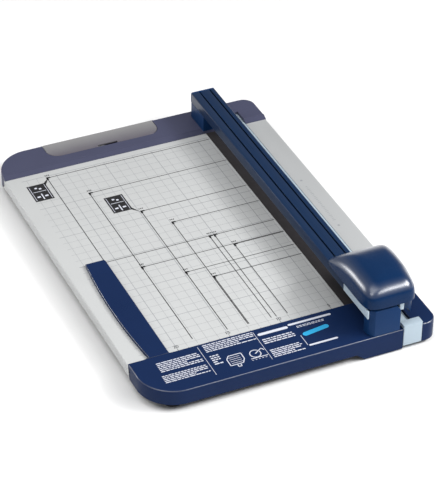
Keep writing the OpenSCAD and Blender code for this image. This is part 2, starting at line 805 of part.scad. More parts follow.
// Round cap that keeps the blade on its axle
module blade_retainer() {
    x0 = cut_x + blade_t / 2 + skim;
    color("#24406e") difference() {
        bar_x(x0, x0 + retainer_t, blade_y, blade_z, retainer_r);
        bar_x(0, half_w, blade_y, blade_z, axle_r);
    }
}

// Axle of the blade with a slotted head
module axle_screw() {
    x1 = cut_x + blade_t / 2 + skim + retainer_t;
    color("#b4b7ba") difference() {
        union() {
            bar_x(holder_x0, x1 + eps, blade_y, blade_z, axle_r);
            bar_x(x1, x1 + axle_head_h, blade_y, blade_z, axle_head_r);
        }
        box([x1 + axle_head_h / 2, blade_y - 6, blade_z - 0.6], [x1 + 3, blade_y + 6, blade_z + 0.6]);
    }
}

base_tray();
table_plate();
side_table();
grip_strip();
near_block();
far_block();
block_screws();
rubber_feet();
blade_store_lid();
lid_pins();
spare_blade();
cutting_mat();
mat_tab();
rail();
rail_end_cap();
near_post();
far_post();
post_screws();
carriage_body();
guide_posts();
slide_pads();
slide_keepers();
keeper_screws();
carriage_cover();
press_springs();
blade_holder();
holder_screws();
blade_spacer();
rotary_blade();
blade_retainer();
axle_screw();
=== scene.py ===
"""Rotary paper trimmer: the visible pieces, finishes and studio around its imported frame.

Every length is in metres, in the frame's own axes: +X to the off-cut side, +Y along the rail, +Z up.
"""

from collections import namedtuple
from math import atan2, cos, pi, radians, sin

import bmesh
import bpy
from bpy.props import FloatProperty, FloatVectorProperty, IntProperty, PointerProperty
from mathutils import Matrix, Vector


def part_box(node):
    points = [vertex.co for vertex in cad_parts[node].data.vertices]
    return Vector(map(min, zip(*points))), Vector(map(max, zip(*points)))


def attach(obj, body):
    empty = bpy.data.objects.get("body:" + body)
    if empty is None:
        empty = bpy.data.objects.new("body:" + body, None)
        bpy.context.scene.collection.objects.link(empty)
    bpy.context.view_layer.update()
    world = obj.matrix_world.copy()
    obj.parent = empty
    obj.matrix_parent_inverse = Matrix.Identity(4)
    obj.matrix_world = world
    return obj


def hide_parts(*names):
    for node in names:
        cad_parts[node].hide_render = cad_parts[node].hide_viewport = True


bl_info = {
    "name": "Rotary paper trimmer",
    "version": (1, 0, 0),
    "blender": (4, 5, 0),
    "location": "View3D > Sidebar > Trimmer",
    "description": "Builds the pieces, finishes and studio of a rotary paper trimmer",
    "category": "Object",
}

MM = 0.001

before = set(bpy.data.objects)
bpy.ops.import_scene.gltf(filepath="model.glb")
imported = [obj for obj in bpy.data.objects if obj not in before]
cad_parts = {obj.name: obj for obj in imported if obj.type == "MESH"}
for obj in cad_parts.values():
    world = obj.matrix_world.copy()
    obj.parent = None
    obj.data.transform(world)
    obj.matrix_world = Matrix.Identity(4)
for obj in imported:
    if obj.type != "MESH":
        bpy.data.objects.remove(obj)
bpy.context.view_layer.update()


# Places that come from the frame

def low(node):
    """Lowest corner of a CAD node."""
    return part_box(node)[0]


def high(node):
    """Highest corner of a CAD node."""
    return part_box(node)[1]


CUT_X = (low("rotary_blade").x + high("rotary_blade").x) / 2
TABLE_Z = high("table_plate").z
BLOCK_Z = high("far_block").z
STOP_Y = low("grip_strip").y
FAR_Y = high("grip_strip").y


# Settings that a user would change

def colour(name, description, value):
    """Colour property with an alpha of one."""
    return FloatVectorProperty(name=name, description=description, subtype="COLOR", size=4,
                               default=(*value, 1.0), min=0.0, max=1.0)


def length(name, description, value):
    """Length property in metres."""
    return FloatProperty(name=name, description=description, default=value, unit="LENGTH", min=0.0)


class TrimmerFinish(bpy.types.PropertyGroup):
    """Colours of the surfaces."""
    navy: colour("Navy", "Near block and arm", (0.0075, 0.021, 0.074))
    far_navy: colour("Far navy", "Far block", (0.062, 0.066, 0.115))
    cover_navy: colour("Cover navy", "Dome of the head", (0.004, 0.023, 0.078))
    rail_navy: colour("Rail navy", "Coat of the rail", (0.008, 0.024, 0.066))
    table_grey: colour("Table grey", "Printed table", (0.54, 0.55, 0.55))
    side_grey: colour("Side grey", "Table on the off-cut side", (0.44, 0.45, 0.455))
    pale_blue: colour("Pale blue", "Carriage body and mat", (0.46, 0.56, 0.64))
    # Smoke is the lid's tone at its rear edge, where the painted backlight is strongest
    smoke: colour("Smoke", "Lid of the blade store", (0.28, 0.28, 0.28))
    ink: colour("Ink", "Dark print on the table", (0.012, 0.012, 0.014))
    grid_ink: colour("Grid ink", "Fine grid on the table", (0.30, 0.31, 0.33))
    pale_ink: colour("Pale ink", "Print on the near block", (0.62, 0.64, 0.72))
    cyan_ink: colour("Cyan ink", "Rounded bar on the near block", (0.02, 0.36, 0.66))


class TrimmerEdges(bpy.types.PropertyGroup):
    """Rounding of the mouldings' edges."""
    block: length("Block edge", "Radius along the blocks' outer top edges", 1.4 * MM)
    fine: length("Fine edge", "Radius of the other edges", 0.4 * MM)
    steps: IntProperty(name="Steps", description="Faces across a rounded edge", default=4, min=2, max=8)


class TrimmerPrint(bpy.types.PropertyGroup):
    """Print on the table."""
    pitch: length("Grid pitch", "Distance between the grid's lines", 10 * MM)
    grid_line: length("Grid line", "Width of a grid line", 0.26 * MM)
    format_line: length("Format line", "Width of a sheet size's line", 0.75 * MM)
    film: length("Film", "Height of the ink above the paint", 0.03 * MM)


class TrimmerStage(bpy.types.PropertyGroup):
    """Camera and lights."""
    camera: FloatVectorProperty(name="Camera", description="Place of the camera", subtype="XYZ",
                                unit="LENGTH", default=(-0.7354, -1.6125, 1.3094))
    azimuth: FloatProperty(name="Azimuth", description="Turn of the view to the right of +Y",
                           subtype="ANGLE", default=radians(24.9))
    elevation: FloatProperty(name="Elevation", description="Angle that the camera looks down",
                             subtype="ANGLE", default=radians(36.27))
    roll: FloatProperty(name="Roll", description="Turn about the view's axis", subtype="ANGLE",
                        default=radians(0.905))
    lens: FloatProperty(name="Lens", description="Focal length in millimetres on a 36 mm high sensor",
                        default=170.68, min=20.0)
    key: FloatProperty(name="Key", description="Power of the large soft light", subtype="POWER", default=20.0)
    world: FloatProperty(name="Surround", description="Strength of the even surround", default=0.28, min=0.0)


# Shader building

class Signal:
    """A number that changes over a surface. Arithmetic on it adds Math nodes."""

    def __init__(self, shader, socket):
        self.shader = shader
        self.socket = socket

    def join(self, operation, left, right=0.0):
        return self.shader.signal("ShaderNodeMath", {"operation": operation}, {0: left, 1: right})

    def __add__(self, other):
        return self.join("ADD", self, other)

    def __sub__(self, other):
        return self.join("SUBTRACT", self, other)

    def __rsub__(self, other):
        return self.join("SUBTRACT", other, self)

    def __mul__(self, other):
        return self.join("MULTIPLY", self, other)

    __radd__ = __add__
    __rmul__ = __mul__

    def clamp(self):
        """Kept between 0 and 1."""
        return self.join("MINIMUM", self.join("MAXIMUM", self, 0.0), 1.0)


class Shader:
    """A material built node by node."""

    def __init__(self, name):
        self.material = bpy.data.materials.new(name)
        self.material.use_nodes = True
        self.tree = self.material.node_tree
        self.tree.nodes.clear()
        self.place = self.node("ShaderNodeTexCoord", {}, {}).outputs["Object"]

    def node(self, kind, settings, sockets):
        """A node with its settings made first, then its sockets' values or links."""
        made = self.tree.nodes.new(kind)
        for key, value in settings.items():
            setattr(made, key, value)
        for key, value in sockets.items():
            if isinstance(value, Signal):
                value = value.socket
            if isinstance(value, bpy.types.NodeSocket):
                self.tree.links.new(value, made.inputs[key])
            else:
                made.inputs[key].default_value = value
        return made

    def signal(self, kind, settings, sockets, output=0):
        """The same, as a number that arithmetic works on."""
        return Signal(self, self.node(kind, settings, sockets).outputs[output])

    def noise(self, grain, detail=2.0, stretch=(1.0, 1.0, 1.0)):
        """Noise with features of about a grain's length, centred on 0.5."""
        spread = self.node("ShaderNodeVectorMath", {"operation": "MULTIPLY"},
                           {0: self.place, 1: tuple(s / grain for s in stretch)})
        return self.signal("ShaderNodeTexNoise", {},
                           {"Vector": spread.outputs[0], "Scale": 1.0, "Detail": detail})

    def axis(self, name):
        """One coordinate of the surface."""
        return self.signal("ShaderNodeSeparateXYZ", {}, {0: self.place}, name)

    def slope(self, lower, upper):
        """One where the surface leans between two rises of its normal, fading to nothing outside."""
        rise = self.signal("ShaderNodeSeparateXYZ", {},
                           {0: self.node("ShaderNodeTexCoord", {}, {}).outputs["Normal"]}, "Z")
        fade = 8.0
        return ((rise - lower) * fade).clamp() * ((upper - rise) * fade).clamp()

    def mix(self, factor, first, second):
        """Colour between two colours."""
        return self.node("ShaderNodeMix", {"data_type": "RGBA"},
                         {0: factor, 6: first, 7: second}).outputs[2]

    def bump(self, height, distance, strength=1.0):
        """Normal of a surface with this relief."""
        return self.node("ShaderNodeBump", {}, {"Height": height, "Distance": distance,
                                                "Strength": strength}).outputs[0]

    def finish(self, sockets):
        """The material, with these values or links on its surface shader."""
        surface = self.node("ShaderNodeBsdfPrincipled", {}, sockets)
        self.node("ShaderNodeOutputMaterial", {}, {0: surface.outputs[0]})
        return self.material


def shaded(tone, factor):
    """The colour made lighter or darker."""
    return (*(min(1.0, c * factor) for c in tone[:3]), 1.0)


def moulded(name, tone, roughness=0.35, grain=0.5 * MM, relief=0.02 * MM, polish=None, gloss=0.4):
    """Moulded plastic: a fine even grain, faint flow marks and slightly uneven gloss.
    polish gives the two rises of the normal between which roundings are polished."""
    shader = Shader(name)
    flow = shader.noise(40 * MM, 3.0)
    fine = shader.noise(grain, 3.0)
    tint = shader.mix((flow * 0.8 + fine * 0.2).clamp(), shaded(tone, 0.88), shaded(tone, 1.12))
    return shader.finish({
        "Base Color": tint,
        "Roughness": roughness + (flow - 0.5) * 0.08 + (fine - 0.5) * 0.1,
        "Normal": shader.bump(fine, relief),
        "Specular IOR Level": gloss, "Coat Roughness": 0.3, "Coat IOR": 1.9,
        "Coat Weight": shader.slope(*polish) if polish else 0.0,
    })


def painted(name, tone, roughness=0.42):
    """Powder-coated sheet steel: orange peel and a few dull patches."""
    shader = Shader(name)
    peel = shader.noise(0.9 * MM, 2.0)
    patch = shader.noise(60 * MM, 3.0)
    tint = shader.mix(patch, shaded(tone, 0.965), shaded(tone, 1.035))
    return shader.finish({
        "Base Color": tint,
        "Roughness": roughness + (patch - 0.5) * 0.1,
        "Normal": shader.bump(peel, 0.02 * MM),
    })


def rubber(name, tone):
    """Matt rubber with a dusty bloom."""
    shader = Shader(name)
    bloom = shader.noise(6 * MM, 4.0)
    fine = shader.noise(0.35 * MM, 2.0)
    return shader.finish({
        "Base Color": shader.mix(bloom, shaded(tone, 0.75), shaded(tone, 1.5)),
        "Roughness": 0.72 + (fine - 0.5) * 0.2,
        "Normal": shader.bump(fine, 0.05 * MM),
    })


def steel(name, tone=(0.58, 0.59, 0.61, 1.0), roughness=0.28, stretch=(1.0, 0.06, 1.0)):
    """Bright steel with fine drawn lines."""
    shader = Shader(name)
    lines = shader.noise(0.25 * MM, 2.0, stretch)
    return shader.finish({
        "Base Color": shader.mix(lines, shaded(tone, 0.9), shaded(tone, 1.08)),
        "Metallic": 1.0,
        "Roughness": roughness + (lines - 0.5) * 0.2,
        "Normal": shader.bump(lines, 0.004 * MM),
    })


def anodised(name, tone):
    """Dark coat on an extruded section, with faint drawing lines along it."""
    shader = Shader(name)
    lines = shader.noise(0.6 * MM, 3.0, (1.0, 0.01, 1.0))
    cloud = shader.noise(30 * MM, 2.0)
    return shader.finish({
        "Base Color": shader.mix(lines, shaded(tone, 0.85), shaded(tone, 1.2)),
        "Roughness": 0.3 + (lines - 0.5) * 0.12 + (cloud - 0.5) * 0.06,
        "Normal": shader.bump(lines, 0.012 * MM),
        "Specular IOR Level": 0.16,
    })


def inked(name, tone):
    """Screen-printed ink with small gaps in its density."""
    shader = Shader(name)
    grain = shader.noise(0.25 * MM, 2.0)
    return shader.finish({
        "Base Color": shader.mix(grain, shaded(tone, 0.9), shaded(tone, 1.12)),
        "Roughness": 0.5 + (grain - 0.5) * 0.1,
    })


def smoked(name, tone, navy):
    """Smoked lid with painted light: its colour is painted paler towards its rear edge, as if lit through
    from behind.
    """
    shader = Shader(name)
    front, rear = low("blade_store_lid").y, high("blade_store_lid").y
    # Painted light: share of the way from the lid's front edge to its rear, where the painted backlight is
    # palest
    fade = ((shader.axis("Y") - front) * (1 / (rear - front))).clamp()
    fine = shader.noise(0.5 * MM, 2.0)
    cloud = shader.noise(25 * MM, 2.0)
    # Painted backlight in the base colour: a lightened navy at the front edge, fading to the smoke tone at
    # the rear edge
    tint = shader.mix((fade * 0.95 + (cloud - 0.5) * 0.2).clamp(), shaded(navy, 1.75), tone)
    return shader.finish({
        "Base Color": tint,
        "Roughness": 0.34 + (fine - 0.5) * 0.08,
        "Normal": shader.bump(fine, 0.012 * MM),
        "Specular IOR Level": 0.35,
    })


MATERIALS = {}


def make_materials(finish):
    """Every finish of the trimmer."""
    MATERIALS.update(
        near=moulded("near_block_plastic", finish.navy, roughness=0.3, relief=0.006 * MM,
                     polish=(0.3, 0.97), gloss=0.1),
        far=moulded("far_block_plastic", finish.far_navy, roughness=0.42, gloss=0.2),
        cover=moulded("cover_plastic", finish.cover_navy, roughness=0.27, relief=0.003 * MM,
                       polish=(0.42, 0.97), gloss=0.12),
        post=moulded("post_plastic", shaded(finish.cover_navy, 1.4), roughness=0.4, gloss=0.1),
        rail=anodised("rail_coat", finish.rail_navy),
        table=painted("table_paint", finish.table_grey),
        side=painted("side_table_paint", finish.side_grey),
        strip=rubber("grip_strip_rubber", (0.022, 0.019, 0.021, 1.0)),
        foot=rubber("foot_rubber", (0.012, 0.012, 0.013, 1.0)),
        tray=moulded("tray_plastic", (0.014, 0.016, 0.022, 1.0), roughness=0.55, relief=0.05 * MM),
        saddle=moulded("saddle_plastic", finish.pale_blue, roughness=0.4),
        mat=moulded("mat_plastic", shaded(finish.pale_blue, 0.95), roughness=0.5, grain=0.8 * MM),
        nylon=moulded("nylon", (0.72, 0.71, 0.66, 1.0), roughness=0.45),
        lid=smoked("lid_plastic", finish.smoke, (0.068, 0.063, 0.076, 1.0)),
        steel=steel("screw_steel"),
        wire=steel("spring_wire", roughness=0.2, stretch=(1.0, 1.0, 1.0)),
        blade=steel("blade_steel", (0.66, 0.67, 0.69, 1.0), 0.16, (1.0, 1.0, 1.0)),
        holder=steel("holder_steel", (0.40, 0.44, 0.48, 1.0), 0.38),
        ink=inked("dark_ink", finish.ink),
        grid_ink=inked("grid_ink", finish.grid_ink),
        pale_ink=inked("pale_ink", finish.pale_ink),
        cyan_ink=inked("cyan_ink", finish.cyan_ink),
    )


# Piece building

def adopt(mesh, name, body, slot, material, *stands_for):
    """A mesh made into a piece that rides on a body and stands for CAD nodes."""
    piece = bpy.data.objects.new(name, mesh)
    bpy.context.scene.collection.objects.link(piece)
    mesh.materials.clear()
    mesh.materials.append(MATERIALS[material])
    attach(piece, body)
    if stands_for:
        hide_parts(*stands_for)
    return piece


def solid(bm, name, body, slot, material, *stands_for, smooth=40):
    """A bmesh made into a piece, smooth except across sharp edges."""
    bmesh.ops.recalc_face_normals(bm, faces=bm.faces)
    mesh = bpy.data.meshes.new(name)
    bm.to_mesh(mesh)
    bm.free()
    mesh.shade_smooth()
    mesh.set_sharp_from_angle(angle=radians(smooth))
    return adopt(mesh, name, body, slot, material, *stands_for)


def cad_copy(node):
    """A CAD node's shape with its flat faces joined."""
    bm = bmesh.new()
    bm.from_mesh(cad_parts[node].data)
    bmesh.ops.remove_doubles(bm, verts=bm.verts, dist=0.002 * MM)
    bmesh.ops.dissolve_limit(bm, angle_limit=radians(0.4), verts=bm.verts, edges=bm.edges)
    return bm


def rounded(bm, name, radius, steps, sharp=32):
    """The shape as a mesh with rounded edges. radius gives an edge's radius from its two ends."""
    bm.edges.ensure_lookup_table()
    weights = bm.edges.layers.float.new("bevel_weight_edge")
    widths = {}
    for edge in bm.edges:
        if len(edge.link_faces) != 2 or edge.calc_face_angle(0.0) < radians(sharp):
            continue
        around = [e.calc_length() for v in edge.verts for e in v.link_edges if e is not edge]
        room = 0.45 * min(around + [edge.calc_length()])
        widths[edge] = min(radius(edge.verts[0].co, edge.verts[1].co), room)
    widest = max(widths.values())
    for edge, width in widths.items():
        edge[weights] = width / widest
    mesh = bpy.data.meshes.new(name)
    bm.to_mesh(mesh)
    bm.free()
    holder = bpy.data.objects.new(name + "_blank", mesh)
    bpy.context.scene.collection.objects.link(holder)
    bevel = holder.modifiers.new("round", "BEVEL")
    bevel.limit_method = "WEIGHT"
    bevel.width = widest
    bevel.segments = steps
    bevel.use_clamp_overlap = False
    bevel.harden_normals = True
    mesh.shade_smooth()
    graph = bpy.context.evaluated_depsgraph_get()
    made = bpy.data.meshes.new_from_object(holder.evaluated_get(graph))
    bpy.data.objects.remove(holder)
    made.name = name
    return made


def rounded_node(node, name, body, slot, material, radius, steps=3):
    """A CAD node's shape with rounded edges, standing for it."""
    mesh = rounded(cad_copy(node), name, radius if callable(radius) else lambda a, b: radius, steps)
    return adopt(mesh, name, body, slot, material, node)


def extruded(bm, outline, z0, z1):
    """A prism of an outline of (x, y) points."""
    lower = [bm.verts.new((x, y, z0)) for x, y in outline]
    upper = [bm.verts.new((x, y, z1)) for x, y in outline]
    bm.faces.new(upper)
    bm.faces.new(lower[::-1])
    count = len(outline)
    for i in range(count):
        j = (i + 1) % count
        bm.faces.new((lower[i], lower[j], upper[j], upper[i]))


def quad(bm, corners):
    """A flat face through four points."""
    bm.faces.new([bm.verts.new(c) for c in corners])


def stripe(bm, start, end, width, z):
    """A printed line from one (x, y) to another."""
    a, b = Vector((*start, z)), Vector((*end, z))
    side = (b - a).normalized().cross(Vector((0, 0, 1))) * (width / 2)
    quad(bm, (a + side, b + side, b - side, a - side))


def printed(bm, name, slot, material):
    """Flat print as a piece on the base."""
    return solid(bm, name, "base", slot, material)


def loft(bm, rings, close=True):
    """Skin through rings of equally many points. Returns the rings' vertices."""
    made = [[bm.verts.new(p) for p in ring] for ring in rings]
    count = len(rings[0])
    for a, b in zip(made, made[1:]):
        for i in range(count if close else count - 1):
            j = (i + 1) % count
            bm.faces.new((a[i], a[j], b[j], b[i]))
    return made


# Corner of a moulding's outline: its place, the radius of its top edge, the height of its wall's foot
# and how far its face leans back towards the top
Corner = namedtuple("Corner", "x y radius foot lean", defaults=(0.0,))


def inward(corners):
    """Direction at each corner that moves both of its sides inwards by one."""
    moves = []
    for i, corner in enumerate(corners):
        before, after = corners[i - 1], corners[(i + 1) % len(corners)]
        a = Vector((corner.x - before.x, corner.y - before.y)).normalized()
        b = Vector((after.x - corner.x, after.y - corner.y)).normalized()
        left_a, left_b = Vector((-a.y, a.x)), Vector((-b.y, b.x))
        moves.append((left_a + left_b) / (1 + left_a.dot(left_b)))
    return moves


def moulding(bm, corners, top, steps, wall=0.0, ceiling=None):
    """A prism of an anticlockwise outline with rounded top edges. A wall makes it an open-bottomed shell."""
    moves = inward(corners)

    def ring(inset, height, lean):
        return [(c.x + move.x * inset(c), c.y + move.y * inset(c) + c.lean * lean, height(c))
                for c, move in zip(corners, moves)]

    rings = [ring(lambda c: c.radius * 1.3, lambda c: top, 1)]
    for k in range(steps + 1):
        a = pi / 2 * k / steps
        rings.append(ring(lambda c: c.radius * (1 - sin(a)), lambda c: top - c.radius * (1 - cos(a)), 1))
    foot_z = TABLE_Z + 0.3 * MM
    if any(c.lean for c in corners):
        rings.append(ring(lambda c: 0.0, lambda c: foot_z, 0))
    rings.append(ring(lambda c: 0.0, lambda c: c.foot, 0))
    if wall:
        rings.append(ring(lambda c: wall, lambda c: c.foot, 0))
        rings.append(ring(lambda c: wall, lambda c: ceiling, 0))
    made = loft(bm, rings)
    bm.faces.new(made[0])
    bm.faces.new(made[-1][::-1])
    bmesh.ops.remove_doubles(bm, verts=[v for ring_ in made for v in ring_], dist=0.001 * MM)


def block(bm, lowest, highest):
    """A plain box between two corners."""
    x0, y0, z0 = lowest
    x1, y1, z1 = highest
    extruded(bm, [(x0, y0), (x1, y0), (x1, y1), (x0, y1)], z0, z1)


def arc(x, y, r, first, radius, foot, steps=16):
    """Corners along a quarter round about a centre, from an angle on."""
    return [Corner(x + r * cos(first + pi / 2 * i / steps),
                   y + r * sin(first + pi / 2 * i / steps), radius, foot)
            for i in range(steps + 1)]


# Print on the table, in lengths from the cut line and from the near stop

SHEET_CORNERS = [
    # width and height of each format that a corner mark shows
    (210 * MM, 297 * MM), (182 * MM, 257 * MM), (148 * MM, 210 * MM), (128 * MM, 182 * MM),
    (105 * MM, 148 * MM), (100 * MM, 148 * MM), (89 * MM, 127 * MM),
    (182 * MM, 128 * MM), (148 * MM, 105 * MM), (127 * MM, 89 * MM),
]
LINE_FOOT = 13 * MM
ARM_END = 149 * MM
SHEET_WIDTH = 210 * MM


def on_table(across, along):
    """(x, y) of a place given from the cut line, to the left, and from the near stop."""
    return CUT_X - across, STOP_Y + along


def table_grid(settings):
    """Fine square grid."""
    z = TABLE_Z + settings.film
    bm = bmesh.new()
    right = CUT_X - high("table_plate").x
    left, far = 235 * MM, 300 * MM
    columns = int(left / settings.pitch)
    for i in range(4, columns + 1):
        across = i * settings.pitch
        foot = 6 * MM
        wide = settings.grid_line * (2.0 if i % 5 == 0 else 1.0)
        stripe(bm, on_table(across, foot), on_table(across, far), wide, z)
    for j in range(1, int(far / settings.pitch) + 1):
        along = j * settings.pitch
        wide = settings.grid_line * (2.0 if j % 5 == 0 else 1.0)
        stripe(bm, on_table(right + MM, along), on_table(left, along), wide, z)
    return printed(bm, "print_grid", "table_paint", "grid_ink")


def format_lines(settings):
    """Lines and corner marks of the sheet sizes."""
    z = TABLE_Z + 2 * settings.film
    bm = bmesh.new()
    right = CUT_X - high("table_plate").x + MM
    for wide, high_ in SHEET_CORNERS:
        foot = ARM_END if wide == SHEET_WIDTH else LINE_FOOT
        stripe(bm, on_table(wide, foot), on_table(wide, high_), settings.format_line, z)
        stripe(bm, on_table(right, high_), on_table(wide, high_), settings.format_line, z)
        x, y = on_table(wide, high_)
        stripe(bm, (x - 0.9 * MM, y), (x + 3.4 * MM, y), 1.9 * MM, z + settings.film)
        stripe(bm, (x, y + 0.9 * MM), (x, y - 3.4 * MM), 1.9 * MM, z + settings.film)
        # Small caption beyond the corner: three short bars
        for step in range(3):
            bar_x = x + (step * 1.7 - 0.9) * MM
            stripe(bm, (bar_x, y + 4.2 * MM), (bar_x + MM, y + 4.2 * MM), 1.6 * MM, z)
    stripe(bm, on_table(right, ARM_END - MM), on_table(SHEET_WIDTH, ARM_END - MM), settings.format_line, z)
    return printed(bm, "print_formats", "table_paint", "ink")


def tiles(settings):
    """Two dark squares with a pointer each, and pale bars in four fields."""
    z = TABLE_Z + 3 * settings.film
    dark, pale = bmesh.new(), bmesh.new()
    side = 19 * MM
    for (across, along), tip in (((233 * MM, 262 * MM), (208.5 * MM, 297 * MM)),
                                 ((172 * MM, 215.5 * MM), (149 * MM, 210 * MM))):
        x, y = on_table(across + MM, along + MM)
        tall = 27 * MM
        quad(dark, ((x, y, z), (x + side, y, z), (x + side, y + tall, z), (x, y + tall, z)))
        tip_x, tip_y = on_table(*tip)
        root_y = y + tall - 2 * MM if tip_y > y + tall / 2 else y + 2 * MM
        wing = 2.4 * MM
        dark.faces.new([dark.verts.new(c) for c in (
            (x + side - MM, root_y - wing, z), (tip_x, tip_y, z), (x + side - MM, root_y + wing, z))])
        # A frame line, a gap between the fields, and a plain bar or two in each field
        above = z + settings.film
        for edge in (1.7 * MM, side - 1.7 * MM):
            stripe(pale, (x + edge, y + 1.5 * MM), (x + edge, y + tall - 1.5 * MM), 0.5 * MM, above)
        stripe(pale, (x + side / 2, y + 2 * MM), (x + side / 2, y + 11.5 * MM), 1.2 * MM, above)
        stripe(pale, (x + 3 * MM, y + 15.4 * MM), (x + side - 3 * MM, y + 15.4 * MM), 0.7 * MM, above)
        for bar_x, bar_y, reach in ((6.4, 21.6, 2.4), (10.2, 19.6, 2.4), (3.9, 6.8, 3.4), (11.7, 6.8, 3.4)):
            stripe(pale, (x + bar_x * MM, y + bar_y * MM), (x + (bar_x + reach) * MM, y + bar_y * MM),
                   2.2 * MM, above)
    printed(pale, "print_tile_bars", "table_paint", "pale_ink")
    return printed(dark, "print_tiles", "table_paint", "ink")


def scale_numbers(settings):
    """Centimetre numbers along the near edge, and a tick at each centimetre."""
    z = TABLE_Z + 2 * settings.film
    bm = bmesh.new()
    for i in range(4, 24):
        tick = (5.0 if i % 5 == 0 else 3.0) * MM
        stripe(bm, on_table(i * 10 * MM, MM), on_table(i * 10 * MM, MM + tick), 0.35 * MM, z)
    printed(bm, "print_scale_ticks", "table_paint", "ink")
    for number in (5, 10, 15, 20):
        curve = bpy.data.curves.new(f"print_number_{number}", "FONT")
        curve.body = str(number)
        curve.size = 5.2 * MM
        curve.align_x = "CENTER"
        holder = bpy.data.objects.new(f"number_{number}_blank", curve)
        bpy.context.scene.collection.objects.link(holder)
        graph = bpy.context.evaluated_depsgraph_get()
        mesh = bpy.data.meshes.new_from_object(holder.evaluated_get(graph))
        bpy.data.objects.remove(holder)
        x, y = on_table(number * 10 * MM, 7 * MM)
        mesh.transform(Matrix.Translation((x, y, z)))
        adopt(mesh, f"print_number_{number}", "base", "table_paint", "ink")


def side_marks(settings):
    """Two dots and a row of tiny marks on the off-cut side."""
    z = high("side_table").z + settings.film
    bm = bmesh.new()
    x = CUT_X + 14 * MM
    for along in (196 * MM, 115.5 * MM):
        disc(bm, (x, STOP_Y + along, z), 1.3 * MM)
    for i in range(24):
        y = STOP_Y + (125 + i * 2.6) * MM
        reach = (0.9 if i % 3 else 1.5) * MM
        stripe(bm, (x - reach, y), (x + reach, y), 0.8 * MM, z)
    return printed(bm, "print_side_marks", "side_paint", "grid_ink")


def disc(bm, centre, radius, count=24):
    """A flat round face."""
    turn = 2 * pi / count
    x, y, z = centre
    bm.faces.new([bm.verts.new((x + radius * cos(i * turn), y + radius * sin(i * turn), z))
                  for i in range(count)])


def pill(bm, start, end, width, z):
    """A printed bar with round ends, from one (x, y) to another."""
    angle = atan2(end[1] - start[1], end[0] - start[0])
    points = []
    for centre, first in ((end, angle - pi / 2), (start, angle + pi / 2)):
        for i in range(9):
            a = first + pi * i / 8
            points.append((centre[0] + cos(a) * width / 2, centre[1] + sin(a) * width / 2, z))
    bm.faces.new([bm.verts.new(p) for p in points])


def text_bars(bm, corner, size, rows, z, seed):
    """Rows of broken bars that stand where small print would be."""
    x, y = corner
    wide, deep = size
    pitch = deep / rows
    for row in range(rows):
        at = x
        turn = seed + row * 7
        reach = wide * (1.0 if row % 4 != 3 else 0.7)
        while at < x + reach - 1.5 * MM:
            turn = (turn * 5 + 3) % 11
            bar = min((1.6 + 0.35 * turn) * MM, x + reach - at)
            top = y + deep - (row + 0.5) * pitch
            stripe(bm, (at, top), (at + bar, top), pitch * 0.5, z)
            at += bar + 0.7 * MM


def block_print(settings):
    """Plain bars and frames on the near block."""
    z = BLOCK_Z + settings.film
    x0, y0 = CUT_X, STOP_Y
    bm = bmesh.new()
    # Groups of rows: left and near corner from the cut line and stop, width, depth and rows, in millimetres
    groups = [
        (-227, -23, 40, 14, 6, 1), (-229, -38, 42, 11, 5, 2),
        (-180, -13.5, 48, 11.5, 5, 3), (-180, -32, 8, 14, 5, 6), (-128, -23, 30, 8, 3, 7),
        (-128, -43, 30, 12, 5, 5), (-92, -13.2, 27, 3.2, 2, 6),
    ]
    for left, near, wide, deep, rows, seed in groups:
        text_bars(bm, (x0 + left * MM, y0 + near * MM), (wide * MM, deep * MM), rows, z, seed)
    for left, near, wide, deep in ((-127, -8.5, 26, 3.4), (-97, -6.4, 40, 2.6)):
        pill(bm, (x0 + left * MM, y0 + near * MM), (x0 + (left + wide) * MM, y0 + near * MM), deep * MM, z)
    pictograms(bm, (x0, y0), z)
    # Upright rules between the groups, and the angle line with its bar
    for across in (-184.5, -131):
        stripe(bm, (x0 + across * MM, y0 - 3 * MM), (x0 + across * MM, y0 - 44 * MM), 0.4 * MM, z)
    stripe(bm, (x0 - 94 * MM, y0 - 24 * MM), (x0 - 94 * MM, y0 - 38.5 * MM), 0.5 * MM, z)
    pill(bm, (x0 - 92 * MM, y0 - 39.3 * MM), (x0 - 66 * MM, y0 - 39.3 * MM), 2.2 * MM, z)
    printed(bm, "print_block_bars", "near_navy", "pale_ink")
    cyan = bmesh.new()
    pill(cyan, (x0 - 89 * MM, y0 - 23.6 * MM), (x0 - 67.5 * MM, y0 - 20.6 * MM), 5.2 * MM, z)
    printed(cyan, "print_block_pill", "near_navy", "cyan_ink")


def drawn(bm, points, width, z):
    """A printed line through several (x, y) points."""
    for a, b in zip(points, points[1:]):
        stripe(bm, a, b, width, z)


def pictograms(bm, origin, z):
    """Two plain line diagrams: a strip drawn out of a slot, and a round blade on a line."""
    x, y = origin[0] - 168 * MM, origin[1] - 40 * MM

    def at(*pairs):
        return [(x + a * MM, y + b * MM) for a, b in pairs]

    thin, thick = 0.5 * MM, 0.9 * MM
    drawn(bm, at((0, 2), (12, 2), (15, 7), (15, 15), (3, 15), (0, 11), (0, 2)), thick, z)
    for row in range(4):
        drawn(bm, at((2.0, 4.4 + row * 2.6), (12.6, 4.4 + row * 2.6)), thin, z)
    drawn(bm, at((6, 2), (6, -1.5), (9, -1.5), (9, 2)), thick, z)
    x += 21 * MM
    turns = [(5.5 + 5 * cos(pi * i / 8), 9 + 5 * sin(pi * i / 8)) for i in range(17)]
    drawn(bm, at(*turns), thick, z)
    drawn(bm, at((5.5, 9), (13, 14), (15, 11)), thick, z)
    drawn(bm, at((-1, 3.4), (15, 3.4)), thick, z)
    for step in range(5):
        drawn(bm, at((step * 3.2 - 1, 1.2), (step * 3.2 + 0.6, 1.2)), thin, z)


# The head's cover

